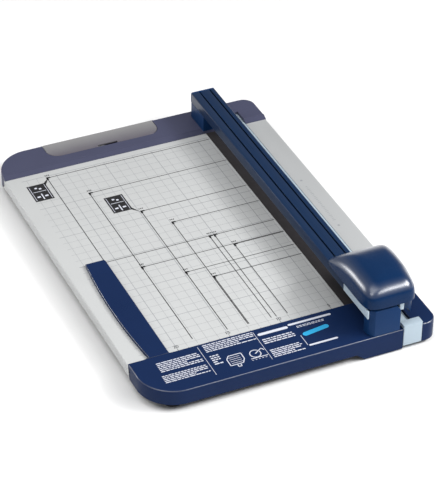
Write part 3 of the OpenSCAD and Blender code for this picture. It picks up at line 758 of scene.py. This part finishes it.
class DomeShape:
    """Form of the dome, worked out from the CAD cover's box."""
    count = 168
    rings = 44
    near_plan_power = 5.4
    far_plan_power = 9.0
    wall = 1.0 * MM
    side_power = 2.8
    far_power = 2.6
    far_lean = 1.0
    near_width = 49.5 * MM
    crest_x = 31.5 * MM
    crest_y = 30 * MM

    def __init__(self):
        lowest, highest = low("carriage_cover"), high("carriage_cover")
        self.rim = high("carriage_body").z
        self.top = highest.z
        self.x0, self.y0, self.x1, self.y1 = lowest.x, lowest.y, highest.x, highest.y
        self.x = self.x0 + self.crest_x
        self.y = self.y0 + self.crest_y

    def right_edge(self, v):
        """Right edge at a share of the way from the near end (-1) to the far end (1)."""
        near = self.x0 + self.near_width
        return near + (self.x1 - near) * (v + 1) / 2

    def ring(self, turn, inset):
        """Points at an angle of the section: 0 at the rim, a quarter turn at the crest."""
        reach = cos(turn) ** (2 / self.side_power)
        side = sin(turn) ** (2 / self.side_power)
        far = (1 - reach ** self.far_power) ** self.far_lean
        points = []
        for i in range(self.count):
            angle = 2 * pi * i / self.count
            c, s = cos(angle), sin(angle)
            power = self.far_plan_power if s > 0 else self.near_plan_power
            grow = (abs(c) ** power + abs(s) ** power) ** (-1 / power)
            u, v = c * grow, s * grow
            lean = max(0.0, v) ** 2
            rise = side * (1 - lean) + far * lean
            half_x = (self.right_edge(v) - self.x if u > 0 else self.x - self.x0) - inset
            half_y = (self.y1 - self.y if v > 0 else self.y - self.y0) - inset
            points.append((self.x + half_x * u * reach, self.y + half_y * v * reach,
                           self.rim + (self.top - self.rim - inset) * rise))
        return points

    def skin(self, bm, inset):
        """Dome surface from the rim up. Returns its rim vertices."""
        turns = [pi / 2 * (i / self.rings) ** 1.15 for i in range(self.rings)]
        made = loft(bm, [self.ring(turn, inset) for turn in turns])
        crown = bm.verts.new((self.x, self.y, self.top - inset))
        for i in range(self.count):
            bm.faces.new((made[-1][i], made[-1][(i + 1) % self.count], crown))
        return made[0]


def rounded_box_outline(x0, y0, x1, y1, radii, steps=10):
    """Rectangle with a radius at each corner: near left, near right, far right, far left."""
    corners = ((x0, y0, 1, 1, pi), (x1, y0, -1, 1, 1.5 * pi),
               (x1, y1, -1, -1, 0.0), (x0, y1, 1, -1, 0.5 * pi))
    points = []
    for (x, y, dx, dy, first), r in zip(corners, radii):
        if r <= 0:
            points.append((x, y))
            continue
        for i in range(steps + 1):
            a = first + pi / 2 * i / steps
            points.append((x + dx * r + r * cos(a), y + dy * r + r * sin(a)))
    return points


def dome_and_lobe():
    """Glossy dome of the head and the lobe that wraps the blade."""
    shape = DomeShape()
    bm = bmesh.new()
    outer = shape.skin(bm, 0.0)
    inner = shape.skin(bm, shape.wall)
    for i in range(shape.count):
        j = (i + 1) % shape.count
        bm.faces.new((outer[i], inner[i], inner[j], outer[j]))
    solid(bm, "cover_dome", "head", "cover_navy", "cover", "carriage_cover", smooth=60)
    # Lobe: a wall round three sides of the blade, rounded at its lower corners
    x0, x1 = CUT_X - 5 * MM, CUT_X + 6.5 * MM
    y0, y1 = shape.y0 + 7 * MM, shape.y0 + 78 * MM
    z0, z1 = low("carriage_cover").z, shape.rim + 0.2 * MM
    wall, corner, round_low = 1.4 * MM, 7 * MM, 10 * MM
    sides = rounded_box_outline(x0, y0, x1, y1, (0, corner, corner, 0))
    inside = rounded_box_outline(x0, y0 + wall, x1 - wall, y1 - wall, (0, corner - wall, corner - wall, 0))

    def lower_edge(y):
        """Height of the lobe's lower edge at a place along the rail."""
        near_end = max(0.0, min(y - y0, y1 - y))
        if near_end >= round_low:
            return z0
        return z0 + round_low - (round_low ** 2 - (round_low - near_end) ** 2) ** 0.5

    outline, inner_line = [], []
    for (a, b), (c, d) in zip(zip(sides, sides[1:]), zip(inside, inside[1:])):
        parts = max(1, int((Vector(b) - Vector(a)).length / (1.5 * MM)))
        for k in range(parts):
            outline.append(tuple(Vector(a).lerp(Vector(b), k / parts)))
            inner_line.append(tuple(Vector(c).lerp(Vector(d), k / parts)))
    outline.append(sides[-1])
    inner_line.append(inside[-1])
    bm = bmesh.new()
    rings = {}
    for key, points, lift in (("outer", outline, 0.6 * MM), ("inner", inner_line, 0.6 * MM)):
        rings[key + "_low"] = [bm.verts.new((x, y, min(lower_edge(o[1]) + lift, z1 - MM)))
                               for (x, y), o in zip(points, outline)]
        rings[key + "_top"] = [bm.verts.new((x, y, z1)) for x, y in points]
    middle = [bm.verts.new(((a[0] + b[0]) / 2, (a[1] + b[1]) / 2, min(lower_edge(a[1]), z1 - 1.6 * MM)))
              for a, b in zip(outline, inner_line)]
    count = len(outline)
    for i in range(count - 1):
        for a, b in (("outer_low", "outer_top"), ("inner_top", "inner_low"), ("outer_top", "inner_top")):
            bm.faces.new((rings[a][i], rings[a][i + 1], rings[b][i + 1], rings[b][i]))
        bm.faces.new((rings["inner_low"][i], rings["inner_low"][i + 1], middle[i + 1], middle[i]))
        bm.faces.new((middle[i], middle[i + 1], rings["outer_low"][i + 1], rings["outer_low"][i]))
    for i in (0, count - 1):
        bm.faces.new((rings["outer_low"][i], rings["outer_top"][i], rings["inner_top"][i],
                      rings["inner_low"][i], middle[i]))
    solid(bm, "cover_lobe", "head", "cover_navy", "cover", smooth=50)
    # Web that joins the lobe to the dome's rim
    bm = bmesh.new()
    rim = [(p[0], p[1]) for p in shape.ring(0.0, 0.8 * MM) if p[0] >= x0]
    rim.sort(key=lambda p: atan2(p[1] - shape.y, p[0] - shape.x))
    z_web = shape.rim - MM
    hole = [(x0, y1 - wall)] + inner_line[::-1] + [(x0, y0 + wall)]
    loop = [(x0, rim[0][1])] + rim + [(x0, rim[-1][1])] + hole
    extruded(bm, [p for i, p in enumerate(loop) if (Vector(p) - Vector(loop[i - 1])).length > 0.01 * MM],
             z_web, z_web + 1.2 * MM)
    return solid(bm, "cover_web", "head", "cover_navy", "cover", smooth=30)


# Operators: one for each piece or group of like pieces

class TrimmerOperator:
    """What every operator here shares."""
    bl_options = {"REGISTER", "UNDO"}

    def execute(self, context):
        self.build(context.scene)
        return {"FINISHED"}


class BuildMaterials(TrimmerOperator, bpy.types.Operator):
    """Make every finish."""
    bl_idname = "trimmer.materials"
    bl_label = "Finishes"

    def build(self, scene):
        make_materials(scene.trimmer_finish)


LEFT_R = 34 * MM
RIGHT_R = 12 * MM
WALL = 2.4 * MM
BLEND = 1.5 * MM


def near_block_corners(edges):
    """Outlines of the near block's two parts, either side of the mat's channel."""
    x0, x1 = low("near_block").x, high("near_block").x
    y0, y1 = low("near_block").y, STOP_Y
    outer, fine = edges.block, edges.fine
    skirt, deep, right = 8 * MM, 1.5 * MM, 4 * MM
    notch_x0, notch_x1 = CUT_X - 6.4 * MM, CUT_X + 12.9 * MM
    channel = CUT_X + 6.7 * MM
    tab_y = y0 + 2.5 * MM
    arm_x0, arm_x1 = CUT_X - 233 * MM, CUT_X - 210 * MM
    left = arc(x0 + LEFT_R, y0 + LEFT_R, LEFT_R, pi, outer, skirt)
    left += [Corner(CUT_X - 52 * MM, y0, outer, skirt), Corner(CUT_X - 44 * MM, y0, outer, deep),
             Corner(notch_x0 - BLEND, y0, outer, deep), Corner(notch_x0, y0, fine, deep),
             Corner(notch_x0, y1, fine, TABLE_Z), Corner(arm_x1 + BLEND, y1, fine, TABLE_Z),
             Corner(arm_x1, y1, 0.0, TABLE_Z), Corner(arm_x0, y1, 0.0, TABLE_Z),
             Corner(arm_x0 - BLEND, y1, fine, TABLE_Z), Corner(x0 + BLEND, y1, fine, TABLE_Z),
             Corner(x0, y1, fine, TABLE_Z), Corner(x0, y1 - 2 * BLEND, outer, skirt)]
    side = [Corner(notch_x1, y0, fine, right), Corner(notch_x1 + BLEND, y0, outer, right)]
    side += arc(x1 - RIGHT_R, y0 + RIGHT_R, RIGHT_R, 1.5 * pi, outer, right)
    side += [Corner(x1, y1 - 2 * BLEND, outer, right), Corner(x1, y1, fine, TABLE_Z),
             Corner(channel, y1, fine, TABLE_Z), Corner(channel, tab_y, fine, right),
             Corner(notch_x1, tab_y, fine, right)]
    return left, side


def near_block(edges):
    """Near block: shell either side of the channel, the wall behind the tab and the stop arm."""
    bm = bmesh.new()
    ceiling = TABLE_Z - 1.15 * MM
    for corners in near_block_corners(edges):
        moulding(bm, corners, BLOCK_Z, edges.steps, WALL, ceiling)
    y0 = low("near_block").y
    block(bm, (CUT_X - 9 * MM, y0 + 2.5 * MM, 4 * MM), (CUT_X + 15.6 * MM, y0 + 4.9 * MM, ceiling - 0.5 * MM))
    moulding(bm, arm_corners(edges), BLOCK_Z, edges.steps)
    return solid(bm, "near_block_shell", "base", "near_navy", "near", "near_block", smooth=35)


def arm_corners(edges):
    """Outline of the stop arm: straight at the sheet's edge, bowed on its outside."""
    bow_r, bow_y = 640 * MM, STOP_Y + 77 * MM
    x1 = CUT_X - SHEET_WIDTH
    bow_x = x1 - 23.2 * MM
    far = STOP_Y + ARM_END
    near_left = CUT_X - 233 * MM
    corners = [Corner(near_left, STOP_Y, 0.0, TABLE_Z), Corner(x1, STOP_Y, 0.0, TABLE_Z),
               Corner(x1, STOP_Y + BLEND, edges.fine, TABLE_Z)]
    corners += arc(x1 - 2.5 * MM, far - 2.5 * MM, 2.5 * MM, 0.0, edges.fine, TABLE_Z, 8)
    for i in range(25):
        y = far - (far - STOP_Y - BLEND) * i / 24
        x = bow_x + bow_r - (bow_r ** 2 - (y - bow_y) ** 2) ** 0.5
        corners.append(Corner(x, y, 0.8 * MM if i else edges.fine, TABLE_Z))
    return corners


def far_block(edges):
    """Far block: shell with the lid's recess and the mat's channel, and the store's tub."""
    x0, x1 = low("far_block").x, high("far_block").x
    y0, y1 = FAR_Y, high("far_block").y
    lean, fine, outer = 5.2 * MM, edges.fine, edges.block
    lid_low, lid_high = low("blade_store_lid"), high("blade_store_lid")
    lid_x0, lid_x1 = lid_low.x - 0.4 * MM, lid_high.x + 0.4 * MM
    lid_y0 = y1 - 23.4 * MM
    skirt, under = 8 * MM, TABLE_Z
    post_x0, post_x1 = low("far_post").x - MM, high("far_post").x + MM
    channel_x0, channel_x1, channel_y = CUT_X - 6.1 * MM, CUT_X + 6.7 * MM, 181 * MM
    corners = [Corner(x0, y0, fine, under, lean)]
    for x, tilt in ((post_x0 - 0.2 * MM, lean), (post_x0, 0.0), (post_x1, 0.0), (post_x1 + 0.2 * MM, lean),
                    (channel_x0, lean)):
        corners.append(Corner(x, y0, fine if tilt else 0.2 * MM, under, tilt))
    corners += [Corner(channel_x0, channel_y, fine, under), Corner(channel_x1, channel_y, fine, under),
                Corner(channel_x1, y0, fine, under, lean), Corner(x1, y0, fine, under, lean),
                Corner(x1, y0 + 7 * MM, outer, skirt)]
    corners += arc(x1 - RIGHT_R, y1 - RIGHT_R, RIGHT_R, 0.0, outer, skirt)
    corners += [Corner(lid_x1 + BLEND, y1, outer, skirt), Corner(lid_x1, y1, fine, skirt)]
    r = RIGHT_R
    for centre_x, first in ((lid_x1 - r, 0.0), (lid_x0 + r, -pi / 2)):
        corners += [Corner(centre_x + r * cos(first - pi / 2 * i / 12),
                           lid_y0 + r + r * sin(first - pi / 2 * i / 12),
                           0.25 * MM, under) for i in range(13)]
    corners += [Corner(lid_x0, y1, fine, skirt), Corner(lid_x0 - BLEND, y1, outer, skirt)]
    # The last corner of this arc is left out: it would crowd the foot of the leaning front
    corners += arc(x0 + LEFT_R, y1 - LEFT_R, LEFT_R, pi / 2, outer, skirt)[:-1]
    bm = bmesh.new()
    moulding(bm, corners, BLOCK_Z, edges.steps, 2 * MM, TABLE_Z - 1.15 * MM)
    # Tub of the store: floor, three walls and a low rear wall
    t = 1.6 * MM
    tub_x0, tub_x1, tub_y0, tub_y1 = lid_x0 - t, lid_x1 + t, 164.4 * MM, y1 - MM
    floor, ledge = 10 * MM, BLOCK_Z - 1.9 * MM
    block(bm, (tub_x0, tub_y0, floor - t), (tub_x1, tub_y1, floor))
    block(bm, (tub_x0, tub_y0, floor), (lid_x0 + 3 * MM, tub_y1 - 5.2 * MM, ledge - 0.1 * MM))
    block(bm, (lid_x1 - 3 * MM, tub_y0, floor), (tub_x1, tub_y1 - 5.2 * MM, ledge - 0.1 * MM))
    block(bm, (lid_x0 + 3 * MM, tub_y0, floor), (lid_x1 - 3 * MM, tub_y0 + t, ledge))
    block(bm, (lid_x0 + 3 * MM, tub_y1 - 1.4 * MM, floor), (lid_x1 - 3 * MM, tub_y1, 12.2 * MM))
    return solid(bm, "far_block_shell", "base", "far_navy", "far", "far_block", smooth=35)


class BuildBlocks(TrimmerOperator, bpy.types.Operator):
    """Near block with its arm, far block with the store, and the store's lid."""
    bl_idname = "trimmer.blocks"
    bl_label = "End blocks"

    def build(self, scene):
        edges = scene.trimmer_edges
        near_block(edges)
        far_block(edges)
        rounded_node("blade_store_lid", "store_lid", "lid", "lid_smoke", "lid", edges.fine)


class BuildTable(TrimmerOperator, bpy.types.Operator):
    """Sheet-metal tables, grip strip, mat and tab."""
    bl_idname = "trimmer.table"
    bl_label = "Tables and mat"

    def build(self, scene):
        fine = scene.trimmer_edges.fine
        rounded_node("mat_tab", "mat_pull_tab", "mat", "tab_plastic", "mat", 0.3 * MM)
        rounded_node("grip_strip", "grip_rubber", "base", "strip_rubber", "strip", 0.1 * MM)
        rounded_node("cutting_mat", "mat_strip", "mat", "mat_plastic", "mat", 0.25 * MM)
        for node, name, slot, finish in (("table_plate", "printed_table", "table_paint", "table"),
                                         ("side_table", "offcut_table", "side_paint", "side")):
            rounded_node(node, name, "base", slot, finish, fine / 2)


class BuildRail(TrimmerOperator, bpy.types.Operator):
    """Slotted rail, its cap and its posts."""
    bl_idname = "trimmer.rail"
    bl_label = "Rail"

    def build(self, scene):
        edges = scene.trimmer_edges
        rounded_node("rail", "rail_section", "base", "rail_paint", "rail", edges.fine / 2)
        rounded_node("rail_end_cap", "rail_cap", "base", "cap_navy", "post", edges.fine)
        rounded_node("near_post", "rail_near_post", "base", "post_navy", "post", 0.6 * MM)
        rounded_node("far_post", "rail_far_post", "base", "post_navy", "post", edges.fine)


class BuildCarriage(TrimmerOperator, bpy.types.Operator):
    """Saddle, dome and the blade's small parts."""
    bl_idname = "trimmer.carriage"
    bl_label = "Carriage"

    def build(self, scene):
        fine = scene.trimmer_edges.fine
        rounded_node("carriage_body", "saddle", "saddle", "saddle_grey", "saddle", fine)
        dome_and_lobe()
        rounded_node("blade_retainer", "blade_cap", "head", "cap_navy", "post", 0.8 * MM)
        rounded_node("axle_screw", "axle_bolt", "head", "screw_steel", "steel", 0.3 * MM)
        rounded_node("blade_holder", "holder_plate", "head", "holder_steel", "holder", 0.25 * MM)


CARRIED_OVER = {
    # CAD nodes whose shape is right, and the finish that each takes
    "base_tray": "tray", "block_screws": "steel", "rubber_feet": "foot", "lid_pins": "steel",
    "spare_blade": "blade", "post_screws": "steel", "guide_posts": "steel", "slide_pads": "nylon",
    "slide_keepers": "nylon", "keeper_screws": "steel", "press_springs": "wire", "holder_screws": "steel",
    "blade_spacer": "nylon", "rotary_blade": "blade",
}


class BuildCarriedOver(TrimmerOperator, bpy.types.Operator):
    """Finishes of the CAD nodes that keep their shape."""
    bl_idname = "trimmer.carried_over"
    bl_label = "Plain parts"

    def build(self, scene):
        for node, finish in CARRIED_OVER.items():
            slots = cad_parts[node].data.materials
            slots.clear()
            slots.append(MATERIALS[finish])


class BuildPrint(TrimmerOperator, bpy.types.Operator):
    """Grid, formats, numbers and plain bars."""
    bl_idname = "trimmer.print"
    bl_label = "Print"

    def build(self, scene):
        settings = scene.trimmer_print
        table_grid(settings)
        format_lines(settings)
        tiles(settings)
        scale_numbers(settings)
        side_marks(settings)
        block_print(settings)


def area_light(name, place, target, size, power):
    """A soft rectangular light aimed at a point."""
    data = bpy.data.lights.new(name, "AREA")
    data.shape = "RECTANGLE"
    data.size, data.size_y = size
    data.energy = power
    light = bpy.data.objects.new(name, data)
    bpy.context.scene.collection.objects.link(light)
    light.location = place
    light.rotation_euler = (Vector(target) - Vector(place)).to_track_quat("-Z", "Y").to_euler()
    return light


class BuildStage(TrimmerOperator, bpy.types.Operator):
    """Pale floor, soft lights and the camera."""
    bl_idname = "trimmer.stage"
    bl_label = "Stage"

    def build(self, scene):
        stage = scene.trimmer_stage
        self.floor()
        self.camera(scene, stage)
        centre = Vector((0.0, 0.0, 0.03))
        # Direction and distance of each light, its size and its share of the key's power
        lights = {
            "key_light": ((0.68, -0.38, 0.62), 1.7, (0.7, 0.4), 0.9),
            "edge_light": ((0.38, -0.60, 0.70), 1.7, (0.9, 0.2), 0.45),
            "top_light": ((-0.25, -0.1, 1.0), 1.8, (1.6, 1.2), 0.6),
            "left_light": ((-0.56, -0.32, 0.76), 1.6, (0.6, 0.15), 0.16),
            "side_light": ((-0.62, 0.70, 0.34), 1.5, (0.5, 0.2), 0.3),
        }
        for name, (aim, distance, size, share) in lights.items():
            area_light(name, centre + Vector(aim).normalized() * distance, centre, size, stage.key * share)
        world = bpy.data.worlds.new("surround")
        world.use_nodes = True
        background = world.node_tree.nodes["Background"]
        background.inputs[0].default_value = (1.0, 1.0, 1.0, 1.0)
        background.inputs[1].default_value = stage.world
        scene.world = world
        scene.view_settings.view_transform = "Standard"

    def floor(self):
        """One large pale sheet."""
        bm = bmesh.new()
        half = 6.0
        quad(bm, ((-half, -half, 0.0), (half, -half, 0.0), (half, half, 0.0), (-half, half, 0.0)))
        mesh = bpy.data.meshes.new("floor")
        bm.to_mesh(mesh)
        bm.free()
        floor = bpy.data.objects.new("floor", mesh)
        bpy.context.scene.collection.objects.link(floor)
        shader = Shader("floor_paper")
        mottle = shader.noise(0.4, 2.0)
        mesh.materials.append(shader.finish({
            "Base Color": shader.mix(mottle, (0.90, 0.90, 0.90, 1.0), (0.93, 0.93, 0.93, 1.0)),
            "Roughness": 0.9,
        }))

    def camera(self, scene, stage):
        """Camera at the view that the trimmer is shown from."""
        data = bpy.data.cameras.new("camera")
        data.sensor_fit = "VERTICAL"
        data.sensor_height = 36.0
        data.lens = stage.lens
        data.clip_end = 20.0
        camera = bpy.data.objects.new("camera", data)
        scene.collection.objects.link(camera)
        aim = (Matrix.Rotation(-stage.azimuth, 4, "Z") @ Matrix.Rotation(pi / 2 - stage.elevation, 4, "X")
               @ Matrix.Rotation(stage.roll, 4, "Z"))
        camera.matrix_world = Matrix.Translation(stage.camera) @ aim
        scene.camera = camera


class TrimmerPanel(bpy.types.Panel):
    """Lists the settings and the operators."""
    bl_idname = "VIEW3D_PT_trimmer"
    bl_label = "Paper trimmer"
    bl_space_type = "VIEW_3D"
    bl_region_type = "UI"
    bl_category = "Trimmer"

    def draw(self, context):
        for name in SETTINGS:
            group = getattr(context.scene, name)
            box = self.layout.box()
            for key in group.bl_rna.properties.keys():
                if key not in ("rna_type", "name"):
                    box.prop(group, key)
        for operator in OPERATORS:
            self.layout.operator(operator.bl_idname)


SETTINGS = {
    "trimmer_finish": TrimmerFinish, "trimmer_edges": TrimmerEdges,
    "trimmer_print": TrimmerPrint, "trimmer_stage": TrimmerStage,
}
OPERATORS = (BuildMaterials, BuildStage, BuildBlocks, BuildTable, BuildRail, BuildCarriage,
             BuildCarriedOver, BuildPrint)


def register():
    """Registers the settings, the operators and the panel."""
    for name, group in SETTINGS.items():
        bpy.utils.register_class(group)
        setattr(bpy.types.Scene, name, PointerProperty(type=group))
    for operator in OPERATORS:
        bpy.utils.register_class(operator)
    bpy.utils.register_class(TrimmerPanel)


def unregister():
    """Removes what register added."""
    bpy.utils.unregister_class(TrimmerPanel)
    for operator in reversed(OPERATORS):
        bpy.utils.unregister_class(operator)
    for name, group in SETTINGS.items():
        delattr(bpy.types.Scene, name)
        bpy.utils.unregister_class(group)


def main():
    """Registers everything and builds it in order."""
    register()
    for operator in OPERATORS:
        group, name = operator.bl_idname.split(".")
        getattr(getattr(bpy.ops, group), name)()


if __name__ == "__main__":
    main()
